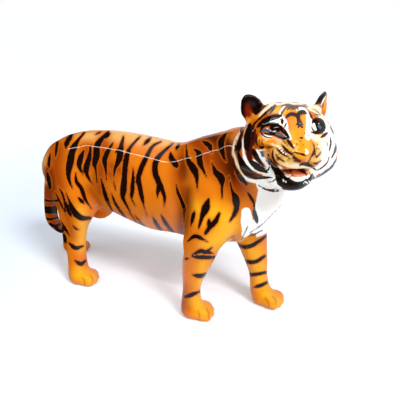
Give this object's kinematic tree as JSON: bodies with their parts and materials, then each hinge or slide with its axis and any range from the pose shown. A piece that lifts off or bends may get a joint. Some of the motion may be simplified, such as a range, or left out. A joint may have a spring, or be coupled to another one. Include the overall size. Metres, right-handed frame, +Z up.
{
  "type": "animal figurine",
  "caption": "A standing tiger figure cast in one piece of glazed earthenware, walking, with its head turned to the side and its mouth open.",
  "frame": {"origin": "On the surface that the paws stand on, under the middle of the figure.", "axes": "+X is the way the tiger walks, +Y is the tiger's left and +Z is up."},
  "size_m": [0.2954, 0.0904, 0.1907],
  "materials": {
    "glazed_china": "orange coat with black stripes and white cheeks and chest, under a clear gloss glaze"
  },
  "bodies": {
    "root": {"tiger_figurine": "glazed_china"}
  },
  "joints": []
}
